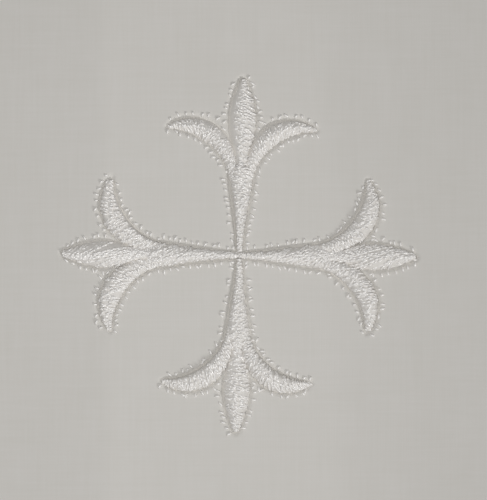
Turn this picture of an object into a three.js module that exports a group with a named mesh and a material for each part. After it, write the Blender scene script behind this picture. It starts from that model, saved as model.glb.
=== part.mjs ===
// Altar cloth: a hemmed square of fine white linen, with a cross fleury at its middle in raised satin stitch.
// Millimetres, +Z up, +Y towards the head of the cross. The origin is the middle of the underside.

import * as THREE from "three";

// Cloth sizes
const CLOTH_SIDE = 160;
const CLOTH_THICKNESS = 1;
const HEM_WIDTH = 6;
const HEM_RISE = 0.6; // the turned layers stand this much above the field
const HEM_STEP = 1.2; // width of the slope between the hem and the field
const PLAIN_BANDS = 6; // divisions of the field between the upper and lower hems

// Two low folds cross the cloth from the lower edge to the upper, with a valley between them: rows from left
// to right. at is the place across the cloth at mid-height and lean its shift for each millimetre up,
// lift is the underside's height above the table.
const FOLD_FADE = 0.0035; // share of the lift lost for each millimetre up the cloth
const FOLD_ROWS = [
  { name: "left foot", at: -52, lean: 0, lift: 0 },
  { name: "left flank", at: -36, lean: -0.007, lift: 0.85 },
  { name: "crest's left", at: -20.4, lean: -0.014, lift: 2.2 },
  { name: "crest", at: -18.6, lean: -0.014, lift: 2.3 },
  { name: "crest's right", at: -16.8, lean: -0.014, lift: 2.2 },
  { name: "right flank", at: -2, lean: -0.026, lift: 1.45 },
  { name: "valley's left", at: 12.8, lean: -0.039, lift: 0 },
  { name: "valley's right", at: 15.2, lean: -0.039, lift: 0 },
  { name: "far fold's foot", at: 22, lean: -0.03, lift: 0.4 },
  { name: "far fold's rise", at: 30, lean: -0.02, lift: 1.35 },
  { name: "far fold's flank", at: 40, lean: -0.01, lift: 2.85 },
  { name: "far crest's left", at: 48, lean: 0, lift: 3.6 },
  { name: "far crest", at: 51, lean: 0, lift: 3.7 },
  { name: "far crest's right", at: 54, lean: 0, lift: 3.6 },
  { name: "far fold's slope", at: 62, lean: 0, lift: 1.8 },
  { name: "right foot", at: 70, lean: 0, lift: 0 },
];

// Cross sizes, along and off each arm's own axis
const ARM_REACH = 25;
const BAR_HALF_WIDTH = 0.6;
const PIECE_GAP = 0.3;
const CROWN_BASE = 0.35; // a satin column's height is this, and a share of its half-width
const CROWN_SHARE = 0.4;
const CROWN_FACETS = 6;

// The four arms. heading is the way out from the crossing, in degrees,
// and leftSide and rightSide name the petals to either hand of it.
// The side arms' petals curl on a wider arc than those of the upright, and bulge more on the outside.
const UPRIGHT_LEAN = -1.3;
const CROSSBAR_LEAN = -0.65;
const UPRIGHT_PETALS = { radius: 7.75, bulge: 0 };
const SIDE_PETALS = { radius: 7.95, bulge: 1 };
const ARMS = [
  { name: "right", heading: CROSSBAR_LEAN, leftSide: "upper", rightSide: "lower", petals: SIDE_PETALS },
  { name: "upper", heading: 90 + UPRIGHT_LEAN, leftSide: "left", rightSide: "right", petals: UPRIGHT_PETALS },
  { name: "left", heading: 180 + CROSSBAR_LEAN, leftSide: "lower", rightSide: "upper", petals: SIDE_PETALS },
  { name: "lower", heading: 270 + UPRIGHT_LEAN, leftSide: "right", rightSide: "left", petals: UPRIGHT_PETALS },
];

// Stem sections, out from the crossing
const STEM_ROWS = [
  { along: 0, halfWidth: BAR_HALF_WIDTH },
  { along: 2.4, halfWidth: 0.72 },
  { along: 4.6, halfWidth: 1.02 },
  { along: 6.8, halfWidth: 1.36 },
  { along: 9, halfWidth: 1.7 },
  { along: 11.15, halfWidth: 2.04 },
];

// Bud sections, from the base in the fork to the tip
const BUD_ROWS = [
  { along: 13.6, halfWidth: 0.12 },
  { along: 14.8, halfWidth: 0.6 },
  { along: 16, halfWidth: 1.25 },
  { along: 17.1, halfWidth: 1.8 },
  { along: 18.3, halfWidth: 2.08 },
  { along: 19.8, halfWidth: 2.05 },
  { along: 21.6, halfWidth: 1.66 },
  { along: 23.4, halfWidth: 1.02 },
  { along: 24.4, halfWidth: 0.56 },
  { along: ARM_REACH, halfWidth: 0.2 },
];

// A petal is a column on an arc that starts beside the arm's axis and curls away from it.
// inside is its width from the arc towards the stem, outside its width towards the bud,
// and fuller what a bulging petal has more there.
const PETAL_START = { along: 11.65, off: 1.1 };
const PETAL_FIRST_HEADING = 10;
const PETAL_LAST_HEADING = 105;
const PETAL_ROWS = [
  { share: 0, inside: 0.95, outside: 0.95, fuller: 0 },
  { share: 0.12, inside: 1.08, outside: 1.08, fuller: 0 },
  { share: 0.25, inside: 1.22, outside: 1.22, fuller: 0 },
  { share: 0.38, inside: 1.3, outside: 1.5, fuller: 0.08 },
  { share: 0.52, inside: 1.3, outside: 1.82, fuller: 0.24 },
  { share: 0.66, inside: 1.14, outside: 1.74, fuller: 0.24 },
  { share: 0.8, inside: 0.84, outside: 1.36, fuller: 0.18 },
  { share: 0.92, inside: 0.48, outside: 0.82, fuller: 0.1 },
  { share: 1, inside: 0.2, outside: 0.3, fuller: 0.04 },
];

const linen = new THREE.MeshStandardMaterial({ color: 0xe4e1db, roughness: 0.9, metalness: 0 });
const thread = new THREE.MeshStandardMaterial({ color: 0xf2f0ec, roughness: 0.5, metalness: 0 });

const radians = THREE.MathUtils.degToRad;

// Place across the cloth of a fold row, at height y up the cloth
function foldPlace(row, y) {
  return row.at + row.lean * y;
}

// Height of the cloth's underside above the table
function foldLift(x, y) {
  for (let i = 1; i < FOLD_ROWS.length; i += 1) {
    const before = FOLD_ROWS[i - 1];
    const after = FOLD_ROWS[i];
    const start = foldPlace(before, y);
    const end = foldPlace(after, y);
    if (x >= start && x <= end) {
      const lift = THREE.MathUtils.lerp(before.lift, after.lift, (x - start) / (end - start));
      return lift * (1 - FOLD_FADE * y);
    }
  }
  return 0;
}

// Closed solid from rings of points, all of one count. Each ring runs anticlockwise seen from the far end,
// and its ends are closed by strips between its first half and its second.
function loft(rings) {
  const count = rings[0].length;
  const positions = rings.flat().flatMap((p) => [p.x, p.y, p.z]);
  const faces = [];
  for (let r = 0; r + 1 < rings.length; r += 1) {
    for (let i = 0; i < count; i += 1) {
      const next = (i + 1) % count;
      const a = r * count + i;
      const b = r * count + next;
      const c = (r + 1) * count + next;
      const d = (r + 1) * count + i;
      faces.push(a, b, c, a, c, d);
    }
  }
  const last = (rings.length - 1) * count;
  for (let i = 0, j = count - 1; i + 1 < j; i += 1, j -= 1) {
    faces.push(i, j, i + 1);
    faces.push(last + i, last + i + 1, last + j);
    if (i + 1 < j - 1) {
      faces.push(i + 1, j, j - 1);
      faces.push(last + i + 1, last + j - 1, last + j);
    }
  }
  const geometry = new THREE.BufferGeometry();
  geometry.setAttribute("position", new THREE.Float32BufferAttribute(positions, 3));
  geometry.setIndex(faces);
  geometry.computeVertexNormals();
  return geometry;
}

// The hemmed sheet: a ring of points round its section on each line across, lofted from the lower edge up
function clothGeometry() {
  const half = CLOTH_SIDE / 2;
  const hemLine = half - HEM_WIDTH;
  const fieldLine = hemLine - HEM_STEP;
  const edgeColumns = [half, hemLine, fieldLine];
  const columns = [
    ...edgeColumns.map((x) => ({ at: -x, lean: 0 })),
    ...FOLD_ROWS,
    ...edgeColumns.map((x) => ({ at: x, lean: 0 })).reverse(),
  ];
  const lines = [-half, -hemLine];
  for (let i = 0; i <= PLAIN_BANDS; i += 1) {
    lines.push(THREE.MathUtils.lerp(-fieldLine, fieldLine, i / PLAIN_BANDS));
  }
  lines.push(hemLine, half);
  const rings = lines.map((y) => {
    const under = columns.map((column) => {
      const x = foldPlace(column, y);
      return new THREE.Vector3(x, y, foldLift(x, y));
    });
    const over = under.map((p) => {
      const inHem = Math.max(Math.abs(p.x), Math.abs(y)) >= hemLine;
      return new THREE.Vector3(p.x, y, p.z + CLOTH_THICKNESS + (inHem ? HEM_RISE : 0));
    });
    return [...over, ...under.reverse()];
  });
  return loft(rings);
}

// A satin column: a domed section carried along stations, each with a middle, a heading and a half-width
function satinGeometry(stations) {
  const rings = stations.map(({ middle, heading, halfWidth }) => {
    const side = leftOf(heading);
    const crown = CROWN_BASE + CROWN_SHARE * halfWidth;
    const ring = [];
    for (let i = 0; i <= CROWN_FACETS; i += 1) {
      const turn = (Math.PI * i) / CROWN_FACETS;
      const place = middle.clone().addScaledVector(side, halfWidth * Math.cos(turn));
      const seat = foldLift(place.x, place.y) + CLOTH_THICKNESS + PIECE_GAP;
      ring.push(new THREE.Vector3(place.x, place.y, seat + crown * Math.sin(turn)));
    }
    return ring;
  });
  return loft(rings);
}

// Unit direction to the left of a heading
function leftOf(heading) {
  return new THREE.Vector2(-Math.sin(heading), Math.cos(heading));
}

// Point of an arm's own plan, turned to the arm's heading
function onArm(arm, along, off) {
  return new THREE.Vector2(along, off).rotateAround(new THREE.Vector2(), radians(arm.heading));
}

// Stations of a straight column on an arm, from rows with along and halfWidth
function straightStations(arm, rows) {
  return rows.map((row) => ({
    middle: onArm(arm, row.along, 0),
    heading: radians(arm.heading),
    halfWidth: row.halfWidth,
  }));
}

// Stations of a petal that curls to the arm's left (hand 1) or right (hand -1), in the middle of its width
function petalStations(arm, hand) {
  const first = radians(PETAL_FIRST_HEADING);
  const last = radians(PETAL_LAST_HEADING);
  const { radius, bulge } = arm.petals;
  return PETAL_ROWS.map(({ share, inside, outside, fuller }) => {
    const turn = THREE.MathUtils.lerp(first, last, share);
    const along = PETAL_START.along + radius * (Math.sin(turn) - Math.sin(first));
    const off = PETAL_START.off + radius * (Math.cos(first) - Math.cos(turn));
    const heading = radians(arm.heading) + hand * turn;
    const outer = outside + bulge * fuller;
    const shift = (hand * (inside - outer)) / 2;
    return {
      middle: onArm(arm, along, hand * off).addScaledVector(leftOf(heading), shift),
      heading,
      halfWidth: (inside + outer) / 2,
    };
  });
}

// The crossbar runs from the left arm's fork, through the crossing, to the right arm's fork.
function crossbarStations(leftArm, rightArm) {
  const inward = straightStations(leftArm, STEM_ROWS)
    .slice(1)
    .reverse()
    .map((station) => ({ ...station, heading: station.heading - Math.PI }));
  return [...inward, ...straightStations(rightArm, STEM_ROWS)];
}

// An upright stem starts just clear of the crossbar.
function uprightStemRows() {
  const start = { along: BAR_HALF_WIDTH + PIECE_GAP, halfWidth: BAR_HALF_WIDTH };
  return [start, ...STEM_ROWS.slice(1)];
}

function piece(name, geometry, material) {
  const mesh = new THREE.Mesh(geometry, material);
  mesh.name = name;
  return mesh;
}

const altarCloth = new THREE.Group();
altarCloth.add(piece("cloth", clothGeometry(), linen));

const cross = new THREE.Group();
const [rightArm, upperArm, leftArm, lowerArm] = ARMS;
cross.add(piece("crossbar", satinGeometry(crossbarStations(leftArm, rightArm)), thread));
for (const arm of [upperArm, lowerArm]) {
  cross.add(piece(`${arm.name}_stem`, satinGeometry(straightStations(arm, uprightStemRows())), thread));
}
for (const arm of ARMS) {
  cross.add(piece(`${arm.name}_bud`, satinGeometry(straightStations(arm, BUD_ROWS)), thread));
  cross.add(piece(`${arm.name}_petal_${arm.leftSide}`, satinGeometry(petalStations(arm, 1)), thread));
  cross.add(piece(`${arm.name}_petal_${arm.rightSide}`, satinGeometry(petalStations(arm, -1)), thread));
}
altarCloth.add(cross);

export default altarCloth;
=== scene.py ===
"""Altar cloth: a hemmed square of fine white linen with a cross fleury in raised white satin stitch.

Sizes are millimetres in the cloth's own frame: +X to the right, +Y towards the head of the cross, +Z up.
Meshes are written in metres.
"""

import logging
import math
from dataclasses import dataclass, field
from enum import Enum

import bpy
import numpy as np
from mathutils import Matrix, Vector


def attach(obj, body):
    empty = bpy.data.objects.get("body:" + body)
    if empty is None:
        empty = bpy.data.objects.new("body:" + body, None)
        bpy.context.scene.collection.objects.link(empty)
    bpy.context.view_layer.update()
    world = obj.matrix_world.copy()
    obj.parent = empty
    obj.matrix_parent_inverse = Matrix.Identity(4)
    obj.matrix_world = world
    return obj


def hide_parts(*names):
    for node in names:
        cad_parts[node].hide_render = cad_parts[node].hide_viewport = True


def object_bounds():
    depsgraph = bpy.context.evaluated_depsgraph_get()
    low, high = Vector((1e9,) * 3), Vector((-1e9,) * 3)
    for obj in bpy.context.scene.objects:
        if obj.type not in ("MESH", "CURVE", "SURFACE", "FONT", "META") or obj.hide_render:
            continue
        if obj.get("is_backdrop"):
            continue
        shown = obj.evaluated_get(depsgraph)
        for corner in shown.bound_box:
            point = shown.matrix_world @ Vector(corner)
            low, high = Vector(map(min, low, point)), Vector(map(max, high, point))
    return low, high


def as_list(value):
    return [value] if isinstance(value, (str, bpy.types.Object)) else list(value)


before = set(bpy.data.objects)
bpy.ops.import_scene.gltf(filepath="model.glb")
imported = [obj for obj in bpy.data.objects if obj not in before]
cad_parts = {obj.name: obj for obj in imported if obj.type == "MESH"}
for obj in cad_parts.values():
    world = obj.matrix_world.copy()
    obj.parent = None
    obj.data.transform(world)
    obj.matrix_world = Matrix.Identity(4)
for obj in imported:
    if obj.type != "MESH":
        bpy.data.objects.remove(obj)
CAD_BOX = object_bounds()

LOG = logging.getLogger("altar_cloth")
MM = 0.001
BODY = "root"
MIX_FIRST, MIX_SECOND, MIX_RESULT = 6, 7, 2  # colour sockets of a mix node, by number
WAVE_RATE = 20.0  # a wave texture's phase, in radians, for each unit of its scale
LEAST_REACH = 0.08  # padding at a column's tip is never narrower than this


def read_points(mesh: bpy.types.Mesh) -> np.ndarray:
    """Read the places of a mesh's vertices.

    Args:
        mesh: the mesh.

    Returns:
        The places in metres, one row each.
    """
    points = np.empty(len(mesh.vertices) * 3)
    mesh.vertices.foreach_get("co", points)
    return points.reshape(-1, 3)


def write_points(mesh: bpy.types.Mesh, points: np.ndarray) -> None:
    """Move a mesh's vertices to new places, in metres."""
    mesh.vertices.foreach_set("co", points.ravel())
    mesh.update()


def linear_colour(hex_code: str) -> tuple[float, float, float, float]:
    """Turn an sRGB hex colour to linear light.

    Args:
        hex_code: six hex digits, with or without a leading hash.

    Returns:
        Red, green, blue and alpha for a shader socket.
    """
    digits = hex_code.lstrip("#")
    shares = [int(digits[i:i + 2], 16) / 255 for i in (0, 2, 4)]
    red, green, blue = (c / 12.92 if c <= 0.04045 else ((c + 0.055) / 1.055) ** 2.4 for c in shares)
    return red, green, blue, 1.0


def add_node(
    tree: bpy.types.NodeTree,
    kind: str,
    settings: dict | None = None,
    inputs: dict | None = None,
    links: dict | None = None,
) -> bpy.types.Node:
    """Add a shader node.

    Args:
        tree: the node tree it goes in.
        kind: the node's type name.
        settings: properties to set on the node.
        inputs: values to set on its input sockets, by name or number.
        links: output sockets to join to its input sockets, by name or number.

    Returns:
        The new node.
    """
    node = tree.nodes.new(kind)
    for key, value in (settings or {}).items():
        setattr(node, key, value)
    for key, value in (inputs or {}).items():
        node.inputs[key].default_value = value
    for key, socket in (links or {}).items():
        tree.links.new(socket, node.inputs[key])
    return node


def new_material(name: str) -> tuple[bpy.types.Material, bpy.types.NodeTree, bpy.types.NodeSocket]:
    """Start a material that reads places on its piece.

    Args:
        name: the material's name.

    Returns:
        The material, its tree, and the socket that gives the place.
    """
    material = bpy.data.materials.new(name)
    material.use_nodes = True
    tree = material.node_tree
    tree.nodes.clear()
    return material, tree, add_node(tree, "ShaderNodeTexCoord").outputs["Object"]


def finish_material(tree: bpy.types.NodeTree, surface: bpy.types.Node) -> None:
    """Join a surface shader to the tree's output."""
    add_node(tree, "ShaderNodeOutputMaterial", links={"Surface": surface.outputs[0]})


@dataclass(frozen=True)
class LinenFinish:
    """Bleached linen in a fine plain weave: matt, a little warm, with faint thicker yarns both ways."""

    name: str = "bleached_linen_plain_weave"
    pale: str = "#d8d5d0"
    shade: str = "#d4d1cb"
    yarn_pitch: float = 0.36
    yarn_waver: float = 0.35
    slub_length: float = 9.0
    slub_width: float = 0.4
    slub_detail: float = 2.0
    cloud_size: float = 6.0
    cloud_detail: float = 3.0
    tone_range: tuple[float, float] = (1.05, 1.95)
    roughness: float = 0.92
    ior: float = 1.53
    shine: float = 0.25
    sheen: float = 0.12
    weave_depth: float = 0.012
    weave_strength: float = 0.2

    def build(self) -> bpy.types.Material:
        """Make the material: yarn bands crossed over and under, slubs in the colour, bump for the weave.

        Returns:
            The linen.
        """
        material, tree, place = new_material(self.name)
        per_metre = 1 / MM
        slubs = []
        for length, width in ((self.slub_length, self.slub_width), (self.slub_width, self.slub_length)):
            stretch = add_node(
                tree, "ShaderNodeMapping",
                inputs={"Scale": (per_metre / length, per_metre / width, per_metre)},
                links={"Vector": place},
            )
            slubs.append(add_node(
                tree, "ShaderNodeTexNoise", inputs={"Scale": 1.0, "Detail": self.slub_detail},
                links={"Vector": stretch.outputs[0]},
            ).outputs["Fac"])
        cloud = add_node(
            tree, "ShaderNodeTexNoise",
            inputs={"Scale": per_metre / self.cloud_size, "Detail": self.cloud_detail},
            links={"Vector": place},
        ).outputs["Fac"]
        both = add_node(tree, "ShaderNodeMath", {"operation": "ADD"}, links={0: slubs[0], 1: slubs[1]})
        uneven = add_node(
            tree, "ShaderNodeMath", {"operation": "ADD"}, links={0: both.outputs[0], 1: cloud},
        )
        share = add_node(
            tree, "ShaderNodeMapRange",
            inputs={"From Min": self.tone_range[0], "From Max": self.tone_range[1]},
            links={"Value": uneven.outputs[0]},
        )
        colour = add_node(
            tree, "ShaderNodeMix", {"data_type": "RGBA"},
            inputs={MIX_FIRST: linear_colour(self.shade), MIX_SECOND: linear_colour(self.pale)},
            links={0: share.outputs[0]},
        )
        bands = []
        yarn_scale = 2 * math.pi / (WAVE_RATE * self.yarn_pitch * MM)
        for direction in ("X", "Y"):
            bands.append(add_node(
                tree, "ShaderNodeTexWave", {"bands_direction": direction, "wave_profile": "SIN"},
                inputs={"Scale": yarn_scale, "Distortion": self.yarn_waver, "Detail": 1.0},
                links={"Vector": place},
            ).outputs["Fac"])
        crossing = add_node(
            tree, "ShaderNodeMath", {"operation": "MULTIPLY"}, links={0: bands[0], 1: bands[1]},
        )
        height = add_node(
            tree, "ShaderNodeMath", {"operation": "ADD"},
            links={0: crossing.outputs[0], 1: both.outputs[0]},
        )
        bump = add_node(
            tree, "ShaderNodeBump",
            inputs={"Strength": self.weave_strength, "Distance": self.weave_depth * MM},
            links={"Height": height.outputs[0]},
        )
        surface = add_node(
            tree, "ShaderNodeBsdfPrincipled",
            inputs={"Roughness": self.roughness, "Sheen Weight": self.sheen, "IOR": self.ior,
                    "Specular IOR Level": self.shine},
            links={"Base Color": colour.outputs[MIX_RESULT], "Normal": bump.outputs[0]},
        )
        finish_material(tree, surface)
        return material


@dataclass(frozen=True)
class ThreadFinish:
    """Two-ply rayon embroidery thread: whiter than the linen, and glossy, so it glints at each turn."""

    name: str = "rayon_embroidery_thread"
    pale: str = "#fcfaf7"
    shade: str = "#f0ece8"
    roughness: float = 0.27
    roughness_spread: float = 0.07
    ior: float = 1.52
    shine: float = 0.95
    coat: float = 0.6
    coat_roughness: float = 0.2
    tone_size: float = 0.7
    tone_detail: float = 2.0

    def build(self) -> bpy.types.Material:
        """Make the material: slight tone and gloss changes from stitch to stitch.

        Returns:
            The thread.
        """
        material, tree, place = new_material(self.name)
        tone = add_node(
            tree, "ShaderNodeTexNoise",
            inputs={"Scale": 1 / (self.tone_size * MM), "Detail": self.tone_detail},
            links={"Vector": place},
        ).outputs["Fac"]
        colour = add_node(
            tree, "ShaderNodeMix", {"data_type": "RGBA"},
            inputs={MIX_FIRST: linear_colour(self.shade), MIX_SECOND: linear_colour(self.pale)},
            links={0: tone},
        )
        gloss = add_node(
            tree, "ShaderNodeMapRange",
            inputs={"To Min": self.roughness - self.roughness_spread,
                    "To Max": self.roughness + self.roughness_spread},
            links={"Value": tone},
        )
        surface = add_node(
            tree, "ShaderNodeBsdfPrincipled",
            inputs={"IOR": self.ior, "Specular IOR Level": self.shine, "Coat Weight": self.coat,
                    "Coat Roughness": self.coat_roughness},
            links={"Base Color": colour.outputs[MIX_RESULT], "Roughness": gloss.outputs[0]},
        )
        finish_material(tree, surface)
        return material


@dataclass(frozen=True)
class PaddingFinish:
    """Soft cotton padding stitches: matt and fibrous. Their tone, darker than the thread over them, is partly
    the cotton's own and partly painted shade for the smooth bare flanks.
    """

    name: str = "cotton_padding_with_painted_shade"
    # Both tones are darker than the thread: partly the cotton's own tone, partly painted shade that darkens
    # the bare flanks.
    pale: str = "#e8e5e0"
    shade: str = "#dcd8d3"
    fibre_size: float = 0.35
    fibre_detail: float = 2.0
    fibre_depth: float = 0.03
    fibre_strength: float = 0.4
    roughness: float = 0.85
    shine: float = 0.2

    def build(self) -> bpy.types.Material:
        """Make the material: one fine noise for the tone and for the bump.

        Returns:
            The padding.
        """
        material, tree, place = new_material(self.name)
        fibre = add_node(
            tree, "ShaderNodeTexNoise",
            inputs={"Scale": 1 / (self.fibre_size * MM), "Detail": self.fibre_detail},
            links={"Vector": place},
        ).outputs["Fac"]
        colour = add_node(
            tree, "ShaderNodeMix", {"data_type": "RGBA"},
            inputs={MIX_FIRST: linear_colour(self.shade), MIX_SECOND: linear_colour(self.pale)},
            links={0: fibre},
        )
        bump = add_node(
            tree, "ShaderNodeBump",
            inputs={"Strength": self.fibre_strength, "Distance": self.fibre_depth * MM},
            links={"Height": fibre},
        )
        surface = add_node(
            tree, "ShaderNodeBsdfPrincipled",
            inputs={"Roughness": self.roughness, "Specular IOR Level": self.shine},
            links={"Base Color": colour.outputs[MIX_RESULT], "Normal": bump.outputs[0]},
        )
        finish_material(tree, surface)
        return material


@dataclass(frozen=True)
class FloorFinish:
    """Plain pale matt board under the cloth."""

    name: str = "pale_matt_board"
    pale: str = "#cfcdc9"
    shade: str = "#c9c7c3"
    mottle_size: float = 60.0
    roughness: float = 0.85

    def build(self) -> bpy.types.Material:
        """Make the material: a pale grey with the faintest mottle.

        Returns:
            The board.
        """
        material, tree, place = new_material(self.name)
        mottle = add_node(
            tree, "ShaderNodeTexNoise", inputs={"Scale": 1 / (self.mottle_size * MM)},
            links={"Vector": place},
        ).outputs["Fac"]
        colour = add_node(
            tree, "ShaderNodeMix", {"data_type": "RGBA"},
            inputs={MIX_FIRST: linear_colour(self.shade), MIX_SECOND: linear_colour(self.pale)},
            links={0: mottle},
        )
        surface = add_node(
            tree, "ShaderNodeBsdfPrincipled", inputs={"Roughness": self.roughness},
            links={"Base Color": colour.outputs[MIX_RESULT]},
        )
        finish_material(tree, surface)
        return material


@dataclass(frozen=True)
class FoldRow:
    """A line along the folds: its place across the cloth at mid-height, shift for each mm up, and lift."""

    at: float
    lean: float
    lift: float


@dataclass(frozen=True)
class Fold:
    """Two low folds that cross the cloth from its lower edge to its upper, with a valley between them."""

    rows: tuple[FoldRow, ...] = (
        FoldRow(-52, 0, 0),
        FoldRow(-36, -0.007, 0.85),
        FoldRow(-20.4, -0.014, 2.2),
        FoldRow(-18.6, -0.014, 2.3),
        FoldRow(-16.8, -0.014, 2.2),
        FoldRow(-2, -0.026, 1.45),
        FoldRow(12.8, -0.039, 0),
        FoldRow(15.2, -0.039, 0),
        FoldRow(22, -0.03, 0.4),
        FoldRow(30, -0.02, 1.35),
        FoldRow(40, -0.01, 2.85),
        FoldRow(48, 0, 3.6),
        FoldRow(51, 0, 3.7),
        FoldRow(54, 0, 3.6),
        FoldRow(62, 0, 1.8),
        FoldRow(70, 0, 0),
    )
    fade: float = 0.0035
    softness: float = 0.7
    soft_steps: int = 7

    def crisp_lift(self, x: np.ndarray, y: np.ndarray) -> np.ndarray:
        """Height of the underside above the table, straight between the rows.

        Args:
            x: places across the cloth.
            y: places up the cloth.

        Returns:
            The height at each place.
        """
        lift = np.zeros_like(x)
        for before, after in zip(self.rows, self.rows[1:]):
            start = before.at + before.lean * y
            end = after.at + after.lean * y
            share = (x - start) / (end - start)
            between = (share >= 0) & (share < 1)
            lift = np.where(between, before.lift + (after.lift - before.lift) * share, lift)
        return lift * (1 - self.fade * y)

    def lift(self, x: np.ndarray, y: np.ndarray) -> np.ndarray:
        """Height of the underside above the table, with the creases softened.

        Args:
            x: places across the cloth.
            y: places up the cloth.

        Returns:
            The height at each place.
        """
        offsets = np.linspace(-self.softness, self.softness, self.soft_steps)
        return np.mean([self.crisp_lift(x + o, y) for o in offsets], axis=0)


class MeshPile:
    """Vertices and faces of many small shapes, gathered for one joined mesh."""

    def __init__(self) -> None:
        """Start empty."""
        self.vertices: list[np.ndarray] = []
        self.faces: list[tuple[int, ...]] = []
        self.slots: list[int] = []
        self.count = 0

    def add_loft(self, rings: np.ndarray, slot: int = 0) -> None:
        """Add a closed solid through rings of points.

        Args:
            rings: points as (ring, point in ring, axis), each ring closed.
            slot: number of its material on the joined piece.
        """
        steps, around = rings.shape[:2]
        number = np.arange(steps * around).reshape(steps, around) + self.count
        here, ahead = number[:-1], number[1:]
        quads = np.stack([here, np.roll(here, -1, 1), np.roll(ahead, -1, 1), ahead], axis=-1)
        self.faces.extend(map(tuple, quads.reshape(-1, 4).tolist()))
        self.faces.append(tuple(number[0][::-1].tolist()))
        self.faces.append(tuple(number[-1].tolist()))
        self.slots.extend([slot] * (len(self.faces) - len(self.slots)))
        self.vertices.append(rings.reshape(-1, 3))
        self.count += steps * around

    def add_strand(self, line: np.ndarray, radius: float, flat: float = 1.0, sides: int = 6) -> None:
        """Lay a strand along a line.

        Args:
            line: points of the strand's middle, whose plan is nearly straight.
            radius: half the strand's width.
            flat: its thickness as a share of its width.
            sides: facets round it.
        """
        tangent = np.gradient(line, axis=0)
        tangent /= np.linalg.norm(tangent, axis=1, keepdims=True)
        across = line[-1, :2] - line[0, :2]
        across /= np.linalg.norm(across)
        side = np.array([-across[1], across[0], 0.0])
        upward = np.cross(tangent, side)
        upward *= flat / np.linalg.norm(upward, axis=1, keepdims=True)
        angles = 2 * math.pi * np.arange(sides) / sides
        ring = np.cos(angles)[None, :, None] * side + np.sin(angles)[None, :, None] * upward[:, None, :]
        self.add_loft(line[:, None, :] + radius * ring)

    def build(self, name: str) -> bpy.types.Object:
        """Join all that was added into one smooth-shaded object, with its place in its mesh.

        Args:
            name: the object's name.

        Returns:
            The new object.
        """
        mesh = bpy.data.meshes.new(name)
        mesh.from_pydata((np.concatenate(self.vertices) * MM).tolist(), [], self.faces)
        mesh.polygons.foreach_set("material_index", self.slots)
        mesh.shade_smooth()
        mesh.validate()
        piece = bpy.data.objects.new(name, mesh)
        bpy.context.scene.collection.objects.link(piece)
        return piece


class Hand(Enum):
    """Which side of an arm a petal curls to, seen along the arm from the crossing."""

    LEFT = 1
    RIGHT = -1


class Arm(Enum):
    """The four arms: heading from the crossing in degrees, and the names of its left and right sides."""

    RIGHT = (-0.65, "upper", "lower")
    UPPER = (88.7, "left", "right")
    LEFT = (179.35, "lower", "upper")
    LOWER = (268.7, "right", "left")

    @property
    def heading(self) -> float:
        """Direction of the arm in radians."""
        return math.radians(self.value[0])

    @property
    def label(self) -> str:
        """The arm's name as the names of its pieces have it."""
        return self.name.lower()

    @property
    def sideways(self) -> bool:
        """Whether the arm is one of the crossbar's."""
        return self in (Arm.LEFT, Arm.RIGHT)

    def side_name(self, hand: Hand) -> str:
        """Name of the side that a hand means on this arm."""
        return self.value[1] if hand is Hand.LEFT else self.value[2]

    def turn(self, plan: np.ndarray) -> np.ndarray:
        """Turn points from the arm's own plan, along and to its left, to the cloth's plan."""
        cos, sin = math.cos(self.heading), math.sin(self.heading)
        return plan @ np.array([[cos, sin], [-sin, cos]])


@dataclass(frozen=True)
class Dome:
    """Sizes of a dome of thread.

    They are its power, least height, gain with half-width, the half-width where the gain ends,
    and how far its padding stays inside its outline.
    """

    power: float
    least: float
    gain: float
    widest: float
    inset: float


class Section(Enum):
    """Shape across a satin column."""

    STEM = Dome(3.0, 0.38, 0.6, 1.35, 0.28)
    BUD = Dome(2.3, 0.42, 0.42, 2.1, 0.16)
    PETAL = Dome(3.2, 0.18, 0.7, 1.6, 0.16)
    SOFT_PETAL = Dome(2.0, 0.18, 0.58, 1.6, 0.16)
    FLAT_PETAL = Dome(4.5, 0.18, 0.52, 1.6, 0.16)

    def dome(self, across: np.ndarray, ridge: np.ndarray) -> np.ndarray:
        """Share of the ridge's height at a place across the column.

        Args:
            across: places from -1 on the column's right to 1 on its left.
            ridge: place of the ridge there.

        Returns:
            The share at each place.
        """
        away = across - ridge
        return 1 - np.abs(away / np.where(away > 0, 1 - ridge, 1 + ridge)) ** self.value.power

    def crown(self, half_width: np.ndarray) -> np.ndarray:
        """Height of the ridge above the column's foot."""
        return self.value.least + self.value.gain * np.minimum(half_width, self.value.widest)

    def reach(self, half_width: np.ndarray) -> np.ndarray:
        """How far the padding goes from the column's middle: less than its outline, which has a trough."""
        return np.maximum(half_width - self.value.inset * np.clip(half_width, 0, 1), LEAST_REACH)


@dataclass(frozen=True)
class Flank:
    """The smooth flank of a column.

    It has a width that the stitches leave bare, where the padding's darker tone is painted shade. The ridge
    leans off it, by a share that changes to the tip.
    """

    side: int = 1
    bare: float = 0.0
    lean: float = 0.0
    twist: float = 0.0

    def ridge(self, share: np.ndarray) -> np.ndarray:
        """Place of the ridge across the column, at shares of its length."""
        return -self.side * (self.lean + self.twist * share)


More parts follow.
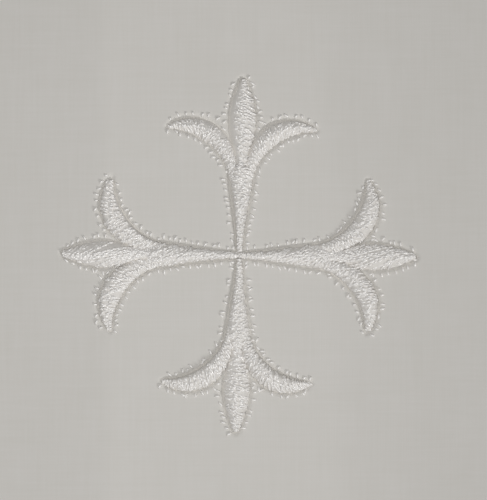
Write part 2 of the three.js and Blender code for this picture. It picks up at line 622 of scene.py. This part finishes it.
@dataclass
class ColumnPlan:
    """Plan of one satin column: middle line, headings, half-widths, section, and its stitches' slant."""

    node: str
    line: np.ndarray
    heading: np.ndarray
    half_width: np.ndarray
    section: Section
    slant: float
    flank: Flank = Flank()
    tip_inset: float = 0.18
    full_foot: float = 0.7

    def __post_init__(self) -> None:
        """Measure along the column."""
        steps = np.linalg.norm(np.diff(self.line, axis=0), axis=1)
        self.run = np.concatenate([[0], np.cumsum(steps)])

    @property
    def length(self) -> float:
        """Length of the column."""
        return float(self.run[-1])

    def at(self, run: np.ndarray) -> tuple[np.ndarray, np.ndarray, np.ndarray]:
        """Middle, left-hand direction and half-width at distances along the column.

        Args:
            run: distances from the start.

        Returns:
            Plan points, unit directions and half-widths.
        """
        middle = np.stack([np.interp(run, self.run, self.line[:, i]) for i in range(2)], -1)
        heading = np.interp(run, self.run, self.heading)
        left = np.stack([-np.sin(heading), np.cos(heading)], -1)
        return middle, left, np.interp(run, self.run, self.half_width)

    def clearance(self, places: np.ndarray) -> np.ndarray:
        """Distance of plan points outside the column's edge, less than nothing inside it.

        Args:
            places: the plan points.

        Returns:
            The distance of each.
        """
        reach = self.half_width * np.clip(self.half_width / self.full_foot, 0, 1)
        away = np.linalg.norm(places[:, None, :] - self.line[None, ::2, :], axis=2) - reach[None, ::2]
        return away.min(axis=1)


@dataclass
class CrossFleury:
    """Plan of the cross: a crossbar, two upright stems, and a bud between two curled petals on each arm.

    A row of a stem or bud is a distance along the arm and a half-width. A row of a petal is a share of its
    arc, and its widths towards the stem and towards the bud. A petal's shape is its section, the hand of its
    smooth flank, and its ridge's lean and twist.
    """

    petal_start: tuple[float, float] = (11.65, 1.1)
    petal_radius: float = 7.75
    side_petal_radius: float = 7.95
    side_petal_swell: float = 1.14
    petal_headings: tuple[float, float] = (10.0, 105.0)
    petal_root: float = -0.15
    upright_neck: tuple[tuple[float, float], ...] = ((0.5, 0.52), (1.2, 0.64))
    stem_rows: tuple[tuple[float, float], ...] = (
        (0, 0.6), (2.4, 0.72), (4.6, 1.02), (6.8, 1.36), (9, 1.7), (11.15, 2.04),
        (12.2, 1.5), (13, 0.8), (13.6, 0.1),
    )
    bud_rows: tuple[tuple[float, float], ...] = (
        (11.4, 1.1), (13, 1.12), (14.2, 1.28), (15, 1.46), (16, 1.72), (17.1, 1.96), (18.3, 2.1),
        (19.8, 2.08), (21.6, 1.74), (23.4, 1.14), (24.4, 0.7), (25, 0.36),
    )
    petal_rows: tuple[tuple[float, float, float], ...] = (
        (-0.15, 0.45, 0.45), (0, 0.95, 0.95), (0.12, 1.08, 1.18), (0.25, 1.22, 1.46), (0.38, 1.3, 1.76),
        (0.52, 1.3, 1.92), (0.66, 1.16, 1.74), (0.8, 0.88, 1.3), (0.92, 0.56, 0.7), (1, 0.28, 0.2),
    )
    short_tips: tuple[str, ...] = ("right_petal_lower", "left_petal_upper")
    short_tip_inset: float = 0.6
    # Bare flank widths: the padding shown there is darker than the thread and is painted shade on these
    # flanks.
    bare_buds: dict[str, float] = field(
        default_factory=lambda: {"right": 0.12, "upper": 0.7, "left": 0.15, "lower": 0.25}
    )
    bare_petals: dict[str, float] = field(default_factory=lambda: {
        "right_petal_upper": 0.25, "right_petal_lower": 0.2,
        "upper_petal_left": 0.25, "upper_petal_right": 0.4,
        "left_petal_upper": 0.25, "left_petal_lower": 0.05,
        "lower_petal_left": 0.25, "lower_petal_right": 0.05,
    })
    petal_shapes: dict[Arm, tuple[Section, int, float, float]] = field(default_factory=lambda: {
        Arm.RIGHT: (Section.PETAL, 1, 0.12, 0.0), Arm.UPPER: (Section.SOFT_PETAL, -1, 0.1, 0.0),
        Arm.LEFT: (Section.FLAT_PETAL, 1, 0.0, 0.0), Arm.LOWER: (Section.PETAL, 1, 0.12, -0.5),
    })
    crossbar_slant: float = 48.0
    crossbar_lean: float = 0.15
    stem_slant: float = -8.0
    # Bare width of the stems' flank, where the darker padding is painted shade.
    stem_bare: float = 0.25
    upright_bud_slant: float = 8.0
    side_bud_slant: float = 69.0
    petal_slant: float = -18.0
    middle_lean: float = 0.05
    detail: int = 60

    def straight(self, arm: Arm, rows: tuple[tuple[float, float], ...], start: float) -> tuple:
        """Line, headings and half-widths of a straight column on an arm.

        Args:
            arm: the arm it lies on.
            rows: distance along and half-width at each section.
            start: distance along where the column starts.

        Returns:
            Plan points, headings and half-widths.
        """
        table = np.array(rows)
        along = np.linspace(start, table[-1, 0], self.detail)
        line = arm.turn(np.stack([along, np.zeros_like(along)], 1))
        return line, np.full(self.detail, arm.heading), np.interp(along, table[:, 0], table[:, 1])

    def curled(self, arm: Arm, hand: Hand) -> tuple:
        """Line, headings and half-widths of a petal, its line in the middle of its width.

        Args:
            arm: the arm it grows from.
            hand: the side it curls to.

        Returns:
            Plan points, headings and half-widths.
        """
        share = np.linspace(self.petal_root, 1, self.detail)
        first, last = (math.radians(h) for h in self.petal_headings)
        turn = first + (last - first) * share
        radius = self.side_petal_radius if arm.sideways else self.petal_radius
        swell = self.side_petal_swell if arm.sideways else 1.0
        along = self.petal_start[0] + radius * (np.sin(turn) - math.sin(first))
        off = self.petal_start[1] + radius * (math.cos(first) - np.cos(turn))
        table = np.array(self.petal_rows)
        inside = np.interp(share, table[:, 0], table[:, 1])
        outside = np.interp(share, table[:, 0], table[:, 2]) * swell
        heading = arm.heading + hand.value * turn
        left = np.stack([-np.sin(heading), np.cos(heading)], 1)
        line = arm.turn(np.stack([along, hand.value * off], 1))
        line = line + left * (hand.value * (inside - outside) / 2)[:, None]
        return line, heading, (inside + outside) / 2

    def plans(self) -> list[ColumnPlan]:
        """Lay out every satin column.

        Returns:
            The columns: crossbar, stems, then each arm's bud and petals.
        """
        right = self.straight(Arm.RIGHT, self.stem_rows, 0)
        left = self.straight(Arm.LEFT, self.stem_rows, 0)
        bar = (
            np.concatenate([left[0][:0:-1], right[0]]),
            np.full(2 * self.detail - 1, Arm.RIGHT.heading),
            np.concatenate([left[2][:0:-1], right[2]]),
        )
        flank = Flank(side=1, lean=self.crossbar_lean)
        made = [ColumnPlan("crossbar", *bar, Section.STEM, self.crossbar_slant, flank)]
        for arm in (Arm.UPPER, Arm.LOWER):
            rows = self.upright_neck + self.stem_rows[1:]
            stem = self.straight(arm, rows, rows[0][0])
            flank = Flank(1 if arm is Arm.UPPER else -1, self.stem_bare, self.middle_lean)
            made.append(ColumnPlan(f"{arm.label}_stem", *stem, Section.STEM, self.stem_slant, flank))
        for arm in Arm:
            bud = self.straight(arm, self.bud_rows, self.bud_rows[0][0])
            side = 1 if arm in (Arm.RIGHT, Arm.UPPER) else -1
            flank = Flank(side, self.bare_buds[arm.label], self.middle_lean)
            slant = self.side_bud_slant if arm.sideways else self.upright_bud_slant
            made.append(ColumnPlan(f"{arm.label}_bud", *bud, Section.BUD, slant, flank))
            for hand in Hand:
                name = f"{arm.label}_petal_{arm.side_name(hand)}"
                section, inner, lean, twist = self.petal_shapes[arm]
                flank = Flank(hand.value * inner, self.bare_petals[name], lean, twist)
                slant = self.petal_slant * hand.value
                petal = ColumnPlan(name, *self.curled(arm, hand), section, slant, flank)
                if name in self.short_tips:
                    petal.tip_inset = self.short_tip_inset
                made.append(petal)
        return made


@dataclass
class ClothSheet:
    """The linen square: one sheet with its turned hem, in low folds, pulled down at the foot of the satin."""

    plans: list[ColumnPlan]
    side: float = 160.0
    thickness: float = 1.0
    hem_width: float = 6.0
    hem_rise: float = 0.6
    hem_round: float = 0.9
    edge_share: float = 0.42
    shoulder: float = 1.6
    stitch_inset: float = 5.2
    stitch_dip: float = 0.2
    stitch_dip_width: float = 0.4
    mitre_dip: float = 0.14
    mitre_width: float = 0.3
    mitre_fade: float = 0.8
    edge_wander: float = 0.35
    wander_reach: float = 14.0
    side_waves: tuple[tuple[float, float], ...] = ((13.0, 1), (5.9, 2))
    end_waves: tuple[tuple[float, float], ...] = ((11.7, 2), (6.3, 1))
    short_wave: float = 0.6
    draw_in: float = 1.2
    corner_lift: float = 0.7
    corner_reach: float = 26.0
    curled_corners: tuple[tuple[int, int, float], ...] = ((-1, 1, 1.0), (1, -1, 0.7))
    hem_lines: tuple[float, ...] = (0, 0.15, 0.45, 0.9, 2.2, 4, 4.8, 5.2, 5.6, 6.4, 7.6)
    between_lines: tuple[int, int] = (14, 5)
    cross_lines: int = 97
    cross_reach: float = 26.3
    foot_depth: float = 0.42
    foot_reach: float = 0.75
    foot_start: float = 0.28
    fine_reach: tuple[float, float] = (-0.45, 0.75)
    fine_cuts: int = 3
    fold: Fold = field(default_factory=Fold)

    def grid_lines(self, between: int) -> np.ndarray:
        """Places of the grid lines one way of the cloth: close at the hem and the cross, wider between.

        Args:
            between: number of lines from the hem to the cross.

        Returns:
            The places from one edge to the other.
        """
        hem = np.array(self.hem_lines) - self.side / 2
        spread = np.linspace(hem[-1], -self.cross_reach, between + 2)[1:-1]
        middle = np.linspace(-self.cross_reach, self.cross_reach, self.cross_lines)
        left = np.concatenate([hem, spread])
        return np.concatenate([left, middle, -left[::-1]])

    def surface_lift(self, x: np.ndarray, y: np.ndarray) -> np.ndarray:
        """Height of the underside: the folds, and two corners that curl a little.

        Args:
            x: places across the cloth.
            y: places up the cloth.

        Returns:
            The height at each place.
        """
        half = self.side / 2
        lift = self.fold.lift(x, y)
        for side_x, side_y, share in self.curled_corners:
            away = np.hypot(x - side_x * half, y - side_y * half)
            lift = lift + share * self.corner_lift * np.clip(1 - away / self.corner_reach, 0, 1) ** 2
        return lift

    def top(self, x: np.ndarray, y: np.ndarray) -> np.ndarray:
        """Height of the upper face of the plain field."""
        return self.surface_lift(x, y) + self.thickness

    def foot_dip(self, x: np.ndarray, y: np.ndarray) -> np.ndarray:
        """How far the stitches pull the cloth down, at and near the edge of the satin.

        Args:
            x: places across the cloth.
            y: places up the cloth.

        Returns:
            The dip at each place.
        """
        share = np.clip(self.clearance(np.stack([x, y], 1)) / self.foot_reach + self.foot_start, 0, 1)
        return self.foot_depth * (1 - share) ** 2

    def clearance(self, places: np.ndarray) -> np.ndarray:
        """Distance of plan points outside the satin's edge, less than nothing inside it, and never far.

        Args:
            places: the plan points.

        Returns:
            The distance of each.
        """
        near = np.linalg.norm(places, axis=1) < self.cross_reach
        away = np.full(len(places), self.cross_reach)
        for plan in self.plans:
            away[near] = np.minimum(away[near], plan.clearance(places[near]))
        return away

    def add_grid(self) -> bpy.types.Object:
        """Lay the flat grid, with its faces cut finer along the edges of the satin.

        Returns:
            The flat sheet's object.
        """
        lines_x, lines_y = (self.grid_lines(between) for between in self.between_lines)
        cells = np.array([len(lines_x) - 1, len(lines_y) - 1])
        bpy.ops.object.select_all(action="DESELECT")
        bpy.ops.mesh.primitive_grid_add(x_subdivisions=cells[0], y_subdivisions=cells[1], size=2)
        piece = bpy.context.object
        points = read_points(piece.data)
        number = np.rint((points[:, :2] + 1) / 2 * cells).astype(int)
        points[:, 0] = lines_x[number[:, 0]] * MM
        points[:, 1] = lines_y[number[:, 1]] * MM
        write_points(piece.data, points)
        bpy.context.tool_settings.mesh_select_mode = (False, False, True)
        bpy.ops.object.mode_set(mode="EDIT")
        bpy.ops.mesh.select_all(action="DESELECT")
        bpy.ops.object.mode_set(mode="OBJECT")
        centres = np.empty(len(piece.data.polygons) * 3)
        piece.data.polygons.foreach_get("center", centres)
        away = self.clearance(centres.reshape(-1, 3)[:, :2] / MM)
        fine = (away > self.fine_reach[0]) & (away < self.fine_reach[1])
        piece.data.polygons.foreach_set("select", fine)
        bpy.ops.object.mode_set(mode="EDIT")
        bpy.ops.mesh.subdivide(number_cuts=self.fine_cuts, ngon=False)
        # Some cut faces have a point in the middle of a side, and are split from that point.
        bpy.ops.mesh.select_all(action="SELECT")
        bpy.ops.mesh.quads_convert_to_tris(quad_method="SHORTEST_DIAGONAL")
        bpy.ops.object.mode_set(mode="OBJECT")
        return piece

    def hem_height(self, x: np.ndarray, y: np.ndarray) -> np.ndarray:
        """Height of the upper face above the underside, with the hem's round, shoulder and stitch line.

        Args:
            x: places across the cloth.
            y: places up the cloth.

        Returns:
            The thickness of the sheet at each place.
        """
        inset = self.side / 2 - np.maximum(np.abs(x), np.abs(y))
        past_stitches = inset - self.stitch_inset
        drop = np.clip(past_stitches / (self.hem_width + self.shoulder - self.stitch_inset), 0, 1)
        height = self.thickness + self.hem_rise - self.hem_rise * drop * drop * (3 - 2 * drop)
        edge = np.clip(inset / self.hem_round, 0, 1)
        edge_round = np.sqrt(np.clip(1 - (1 - edge) ** 2, 0, 1))
        height = height * (self.edge_share + (1 - self.edge_share) * edge_round)
        height -= self.stitch_dip * np.exp(-((past_stitches / self.stitch_dip_width) ** 2))
        diagonal = (np.abs(x) - np.abs(y)) / math.sqrt(2)
        on_mitre = np.clip((self.hem_width - inset) / self.mitre_fade, 0, 1)
        height -= self.mitre_dip * np.exp(-((diagonal / self.mitre_width) ** 2)) * on_mitre
        return height

    def pull(self, out: np.ndarray, along: np.ndarray, waves: tuple[tuple[float, float], ...]) -> np.ndarray:
        """Move places towards two opposite edges a little in and out.

        Args:
            out: places towards the edges.
            along: places along the edges.
            waves: length and turn of the long wave, then of the short one.

        Returns:
            The places moved.
        """
        edge = np.sign(out)
        near = np.clip((np.abs(out) - self.side / 2 + self.wander_reach) / self.wander_reach, 0, 1) ** 2
        long_wave, short_wave = (np.sin(along / length + turn * edge) for length, turn in waves)
        wave = long_wave + self.short_wave * short_wave - self.draw_in * edge
        return out + self.edge_wander * near * wave / (1 + self.short_wave)

    def wander(self, x: np.ndarray, y: np.ndarray) -> tuple[np.ndarray, np.ndarray]:
        """Move the outline a little in and out, as a hand-turned hem does."""
        return self.pull(x, y, self.side_waves), self.pull(y, x, self.end_waves)

    def build(self) -> bpy.types.Object:
        """Make the sheet: a grid shaped over the folds, given a thickness, and its underside laid smooth.

        Returns:
            The cloth's object.
        """
        piece = self.add_grid()
        piece.name = "linen_cloth"
        piece.data.name = "linen_cloth"
        x, y = read_points(piece.data)[:, :2].T / MM
        underside = self.surface_lift(x, y)
        upper = underside + self.hem_height(x, y) - self.foot_dip(x, y)
        moved_x, moved_y = self.wander(x, y)
        write_points(piece.data, np.stack([moved_x, moved_y, upper], 1) * MM)
        solid = piece.modifiers.new("thickness", "SOLIDIFY")
        solid.thickness = self.thickness * MM
        solid.offset = -1
        bpy.ops.object.modifier_apply(modifier=solid.name)
        points = read_points(piece.data)
        points[len(x):] = np.stack([moved_x, moved_y, underside], 1) * MM
        write_points(piece.data, points)
        piece.data.shade_smooth()
        return piece

    def dress(
        self, piece: bpy.types.Object, linen: bpy.types.Material, trim: list[bpy.types.Object],
    ) -> None:
        """Give the sheet its linen and put it in the place of the CAD cloth.

        Args:
            piece: the cloth's object.
            linen: its material.
            trim: the thread pieces sewn to it; not used.
        """
        piece.data.materials.clear()
        piece.data.materials.append(linen)
        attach(piece, BODY)
        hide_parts("cloth")
        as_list(trim)


@dataclass
class SatinColumn:
    """A raised column of satin stitch: a padded bed with strands laid close across it.

    Each strand dips into the bed every millimetre or so, and shows as a row of grains.
    """

    plan: ColumnPlan
    sheet: ClothSheet
    seed: int
    stitch_pitch: float = 0.29
    stitch_apart: float = 0.19
    strand_radius: float = 0.155
    strand_flat: float = 0.6
    grain_pitch: float = 0.85
    grain_rise: float = 0.05
    grain_depth: float = 0.27
    dip_share: float = 0.15
    grain_reach: float = 0.95
    height_spread: float = 0.03
    weave_rise: float = 0.08
    weave_length: float = 1.2
    tilt_spread: float = 0.06
    wander: float = 0.08
    sway_rate: float = 3.6
    slant_spread: float = 14.0
    wild_share: float = 0.12
    wild_spread: float = 2.0
    most_slant: float = 76.0
    slant_drift: float = 9.0
    drift_length: float = 2.1
    place_spread: float = 0.05
    stretch_spread: float = 0.035
    grain_spread: float = 0.15
    dip_range: tuple[float, float] = (0.6, 1.1)
    weave_range: tuple[float, float] = (0.7, 1.3)
    bare_width: float = 1.2
    point_step: float = 0.08
    end_length: float = 0.6
    fewest_points: int = 9
    fewest_left: int = 4
    bed_step: float = 0.35
    fewest_steps: int = 8
    bed_points: int = 21

    def rise(self, half_width: np.ndarray, across: np.ndarray, run: np.ndarray) -> np.ndarray:
        """Height above the field, which is below it at the column's edges.

        Args:
            half_width: half the column's width.
            across: place across the column, from -1 to 1.
            run: distance along the column.

        Returns:
            The height at each place.
        """
        section = self.plan.section
        ridge = self.plan.flank.ridge(run / self.plan.length)
        return section.crown(half_width) * section.dome(across, ridge) - self.sheet.foot_depth

    def add_bed(self, pile: MeshPile) -> None:
        """Add the padded bed: the stitches stand out of its top, and its flanks are smooth.

        Args:
            pile: where it goes.
        """
        steps = max(self.fewest_steps, int(self.plan.length / self.bed_step))
        run = np.linspace(0, self.plan.length - self.plan.tip_inset, steps)
        across = np.sin(np.linspace(-math.pi / 2, math.pi / 2, self.bed_points))[::-1]
        middle, left, half = self.plan.at(run)
        reach = self.plan.section.reach(half)[:, None] * across[None, :]
        plan = middle[:, None, :] + left[:, None, :] * reach[..., None]
        height = self.sheet.top(plan[..., 0], plan[..., 1]) + self.rise(half[:, None], across, run[:, None])
        # The bed takes the padding, whose darker tone is painted shade where the flanks are bare.
        pile.add_loft(np.concatenate([plan, height[..., None]], axis=-1), slot=1)

    def unevenness(self, along: np.ndarray, offset: np.ndarray, chance: np.random.Generator) -> np.ndarray:
        """How far a strand lies above the bed: dips between its grains, a tilt, and a slow weave.

        Args:
            along: distances along the strand.
            offset: distances from the column's middle.
            chance: source of unevenness.

        Returns:
            The height at each place.
        """
        turns = along / (self.grain_pitch * (1 + chance.normal(0, self.grain_spread))) + chance.random()
        dip = np.exp(-(((turns + 0.5) % 1 - 0.5) / self.dip_share) ** 2)
        height = self.grain_rise - self.grain_depth * chance.uniform(*self.dip_range) * dip
        height = height + chance.normal(0, self.height_spread) + chance.normal(0, self.tilt_spread) * offset
        waves = along / (self.weave_length * chance.uniform(*self.weave_range)) + chance.random()
        return height + self.weave_rise * np.sin(2 * math.pi * waves)

    def add_stitches(self, pile: MeshPile) -> None:
        """Lay the stitches: close together, leaning by the column's slant, each a little uneven.

        Args:
            pile: where they go.
        """
        chance = np.random.default_rng(self.seed)
        flank = self.plan.flank
        last = self.plan.length - self.plan.tip_inset
        lay = math.radians(abs(self.plan.slant))
        overrun = float(self.plan.half_width.max()) * math.tan(lay)
        pitch = max(self.stitch_pitch, self.stitch_apart / math.cos(lay))
        drift_phase = chance.uniform(0, 2 * math.pi)
        for number in range(int((last + 2 * overrun) / pitch)):
            run = -overrun + (number + 0.5) * pitch + chance.normal(0, self.place_spread)
            half = float(self.plan.at(np.array([run]))[2][0])
            slant = self.plan.slant + self.slant_drift * math.sin(run / self.drift_length + drift_phase)
            wild = chance.random() < self.wild_share
            slant += chance.normal(0, self.slant_spread * (self.wild_spread if wild else 1))
            lean = half * math.tan(math.radians(np.clip(slant, -self.most_slant, self.most_slant)))
            reach = math.hypot(half, lean)
            points = max(self.fewest_points, int((2 * reach + self.end_length) / self.point_step))
            bare = flank.bare / max(half, self.bare_width)
            right, left = (self.grain_reach - (bare if flank.side == side else 0) for side in (-1, 1))
            across = np.linspace(-right, left, points)
            across = across[(run + lean * across >= 0) & (run + lean * across <= last)]
            if len(across) < self.fewest_left:
                continue
            sway = self.wander * np.sin(across * half * self.sway_rate + chance.uniform(0, 2 * math.pi))
            places = np.clip(run + lean * across + sway, 0, last)
            middle, leftward, widths = self.plan.at(places)
            stretch = np.where(across > 0, *(1 + chance.normal(0, self.stretch_spread, 2)))
            offset = self.plan.section.reach(widths) * across * stretch
            plan = middle + leftward * offset[:, None]
            height = self.sheet.top(plan[:, 0], plan[:, 1]) + self.rise(widths, across, places)
            height = height + self.unevenness(across * reach, offset, chance)
            line = np.concatenate([plan, height[:, None]], axis=1)
            pile.add_strand(line, self.strand_radius, flat=self.strand_flat)

    def build(self) -> bpy.types.Object:
        """Make the column from its bed and stitches.

        Returns:
            The column's object.
        """
        pile = MeshPile()
        self.add_bed(pile)
        self.add_stitches(pile)
        return pile.build(f"satin_{self.plan.node}")

    def dress(
        self, piece: bpy.types.Object, thread: bpy.types.Material, padding: bpy.types.Material,
    ) -> None:
        """Give the column its thread and padding and put it in its node's place.

        Args:
            piece: the column's object.
            thread: material of its strands.
            padding: material of its bed.
        """
        piece.data.materials.append(thread)
        piece.data.materials.append(padding)
        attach(piece, BODY)
        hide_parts(self.plan.node)


@dataclass
class Stitching:
    """Loose stitches sewn to the sheet, all of one thread."""

    sheet: ClothSheet

    def dress(self, piece: bpy.types.Object, thread: bpy.types.Material) -> None:
        """Give the stitches their thread.

        Args:
            piece: the stitches' object.
            thread: their material.
        """
        piece.data.materials.append(thread)
        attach(piece, BODY)


@dataclass
class EdgePips(Stitching):
    """The row of tiny tacking stitches that stands just outside every satin column."""

    spacing: float = 0.86
    spacing_spread: float = 0.4
    first_range: tuple[float, float] = (0.2, 0.8)
    gap: float = 0.22
    gap_spread: float = 0.09
    swing_spread: float = 0.55
    length: float = 0.44
    length_range: tuple[float, float] = (0.7, 1.5)
    height: float = 0.18
    height_spread: float = 0.12
    arch: float = 0.6
    sink: float = 0.06
    strand_radius: float = 0.155
    points: int = 9
    apart: float = 0.6
    clear: float = 0.05
    seed: int = 71

    def clear_of_others(self, owner: ColumnPlan, place: np.ndarray) -> bool:
        """Whether a place lies outside every other column's foot."""
        others = (plan for plan in self.sheet.plans if plan is not owner)
        return all(plan.clearance(place[None, :])[0] > self.clear for plan in others)

    def add_pip(
        self, pile: MeshPile, foot: np.ndarray, way: np.ndarray, chance: np.random.Generator,
    ) -> None:
        """Add one pip.

        Args:
            pile: where it goes.
            foot: plan point where it leaves the cloth beside the satin.
            way: plan direction it runs in.
            chance: source of unevenness.
        """
        share = np.linspace(0, 1, self.points)
        plan = foot + way * (self.length * chance.uniform(*self.length_range) * share)[:, None]
        x, y = plan[:, 0], plan[:, 1]
        top = self.height * (1 + chance.normal(0, self.height_spread))
        rise = top * np.sin(math.pi * share) ** self.arch - self.sink
        height = self.sheet.top(x, y) - self.sheet.foot_dip(x, y) + rise
        line = np.concatenate([plan, height[:, None]], axis=1)
        pile.add_strand(line, self.strand_radius)

    def build(self) -> bpy.types.Object:
        """Make all the pips as one joined piece.

        Returns:
            The pips' object.
        """
        pile = MeshPile()
        chance = np.random.default_rng(self.seed)
        feet: list[np.ndarray] = []
        for plan in self.sheet.plans:
            for side in (1, -1):
                run = chance.uniform(*self.first_range) * self.spacing
                while run < plan.length:
                    middle, left, half = (v[0] for v in plan.at(np.array([run])))
                    swing = chance.normal(0, self.swing_spread)
                    cos, sin = math.cos(swing), math.sin(swing)
                    way = side * np.array([left[0] * cos - left[1] * sin, left[0] * sin + left[1] * cos])
                    foot = middle + side * left * (half + self.gap + chance.normal(0, self.gap_spread))
                    crowded = any(np.hypot(*(foot - other)) < self.apart for other in feet)
                    if self.clear_of_others(plan, foot + way * self.length) and not crowded:
                        self.add_pip(pile, foot, way, chance)
                        feet.append(foot)
                    run += self.spacing * (1 + chance.uniform(-self.spacing_spread, self.spacing_spread))
        return pile.build("edge_pips")


@dataclass
class HemStitching(Stitching):
    """One row of small straight stitches that holds the hem."""

    stitch: float = 2.0
    pitch: float = 2.6
    place_spread: float = 0.05
    line_spread: float = 0.04
    height: float = 0.15
    arch: float = 0.6
    sink: float = 0.04
    strand_radius: float = 0.14
    points: int = 11
    seed: int = 17

    def build(self) -> bpy.types.Object:
        """Make the stitches along the four sides as one joined piece.

        Returns:
            The stitching's object.
        """
        pile = MeshPile()
        chance = np.random.default_rng(self.seed)
        reach = self.sheet.side / 2 - self.sheet.stitch_inset
        count = int(2 * reach / self.pitch)
        margin = (2 * reach - (count - 1) * self.pitch - self.stitch) / 2
        starts = -reach + margin + self.pitch * np.arange(count)
        share = np.linspace(0, 1, self.points)
        rise = self.height * np.sin(math.pi * share) ** self.arch - self.sink
        for quarter in range(4):
            turn = math.pi / 2 * quarter
            along = np.array([math.cos(turn), math.sin(turn)])
            out = np.array([math.sin(turn), -math.cos(turn)])
            for start in starts:
                place = start + chance.normal(0, self.place_spread) + self.stitch * share
                plan = along * place[:, None] + out * (reach + chance.normal(0, self.line_spread))
                x, y = plan[:, 0], plan[:, 1]
                height = self.sheet.surface_lift(x, y) + self.sheet.hem_height(x, y) + rise
                moved = np.stack(self.sheet.wander(x, y), 1)
                line = np.concatenate([moved, height[:, None]], axis=1)
                pile.add_strand(line, self.strand_radius)
        return pile.build("hem_stitching")


@dataclass(frozen=True)
class SoftLight:
    """A round soft light that faces the cross.

    Side is its direction from the cross in degrees from +X, rise its angle above the floor, power in watts.
    """

    name: str
    side: float
    rise: float
    distance: float
    size: float
    power: float

    def build(self) -> None:
        """Hang the light in its place, turned to the cross."""
        azimuth, height = math.radians(self.side), math.radians(self.rise)
        reach = self.distance * MM
        flat = math.cos(height) * reach
        place = (flat * math.cos(azimuth), flat * math.sin(azimuth), math.sin(height) * reach)
        bpy.ops.object.light_add(type="AREA", location=place)
        light = bpy.context.object
        light.name = self.name
        light.data.shape = "DISK"
        light.data.size = self.size * MM
        light.data.energy = self.power
        light.rotation_euler = (math.pi / 2 - height, 0, azimuth + math.pi / 2)


@dataclass
class Studio:
    """Plain pale floor, soft light, an even sky, and the camera straight above the cross."""

    frame_height: float = 70.4
    aim: tuple[float, float, float] = (0.59, 0.75, 1.5)
    distance: float = 450.0
    sensor: float = 36.0
    near_clip: float = 10.0
    floor_size: float = 4000.0
    floor_drop: float = 0.05
    lights: tuple[SoftLight, ...] = (
        SoftLight("lamp_light", -150.0, 83.5, 220.0, 70.0, 0.215),
        SoftLight("window_light", -45.0, 28.0, 2600.0, 500.0, 22.0),
    )
    sky: float = 0.175
    sky_colour: str = "#ffffff"

    def add_floor(self, board: bpy.types.Material) -> None:
        """Lay the floor under the cloth.

        Args:
            board: its material.
        """
        bpy.ops.object.select_all(action="DESELECT")
        bpy.ops.mesh.primitive_plane_add(size=self.floor_size * MM, location=(0, 0, -self.floor_drop * MM))
        floor = bpy.context.object
        floor.name = "floor"
        floor.data.materials.append(board)
        floor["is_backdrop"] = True

    def add_lights(self) -> None:
        """Hang the lights and set the even sky."""
        for light in self.lights:
            light.build()
        world = bpy.data.worlds.new("even_sky")
        bpy.context.scene.world = world
        world.use_nodes = True
        background = world.node_tree.nodes["Background"]
        background.inputs["Color"].default_value = linear_colour(self.sky_colour)
        background.inputs["Strength"].default_value = self.sky

    def add_camera(self) -> None:
        """Set the camera straight above, its frame as tall as the photograph's."""
        x, y, z = self.aim
        bpy.ops.object.camera_add(location=(x * MM, y * MM, (z + self.distance) * MM), rotation=(0, 0, 0))
        camera = bpy.context.object
        camera.name = "photo_camera"
        camera.data.sensor_width = self.sensor
        camera.data.lens = self.sensor * self.distance / self.frame_height
        camera.data.clip_start = self.near_clip * MM
        bpy.context.scene.camera = camera
        settings = bpy.context.scene.view_settings
        settings.view_transform = "Standard"
        settings.look = "None"


def main() -> None:
    """Build the cloth and its embroidery, then the studio round it."""
    logging.basicConfig(level=logging.INFO, format="%(name)s: %(message)s")
    linen = LinenFinish().build()
    thread = ThreadFinish().build()
    padding = PaddingFinish().build()
    studio = Studio()
    studio.add_camera()
    sheet = ClothSheet(CrossFleury().plans())
    cloth = sheet.build()
    LOG.info("%s: %d faces", cloth.name, len(cloth.data.polygons))
    trim = []
    for seed, plan in enumerate(sheet.plans):
        column = SatinColumn(plan, sheet, seed)
        trim.append(column.build())
        column.dress(trim[-1], thread, padding)
    for stitching in (EdgePips(sheet), HemStitching(sheet)):
        trim.append(stitching.build())
        stitching.dress(trim[-1], thread)
    for piece in trim:
        LOG.info("%s: %d faces", piece.name, len(piece.data.polygons))
    sheet.dress(cloth, linen, trim)
    studio.add_floor(FloorFinish().build())
    studio.add_lights()
    boxes = {"cad": CAD_BOX, "visual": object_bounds()}
    {name: [list(corner) for corner in box] for name, box in boxes.items()}


if __name__ == "__main__":
    main()
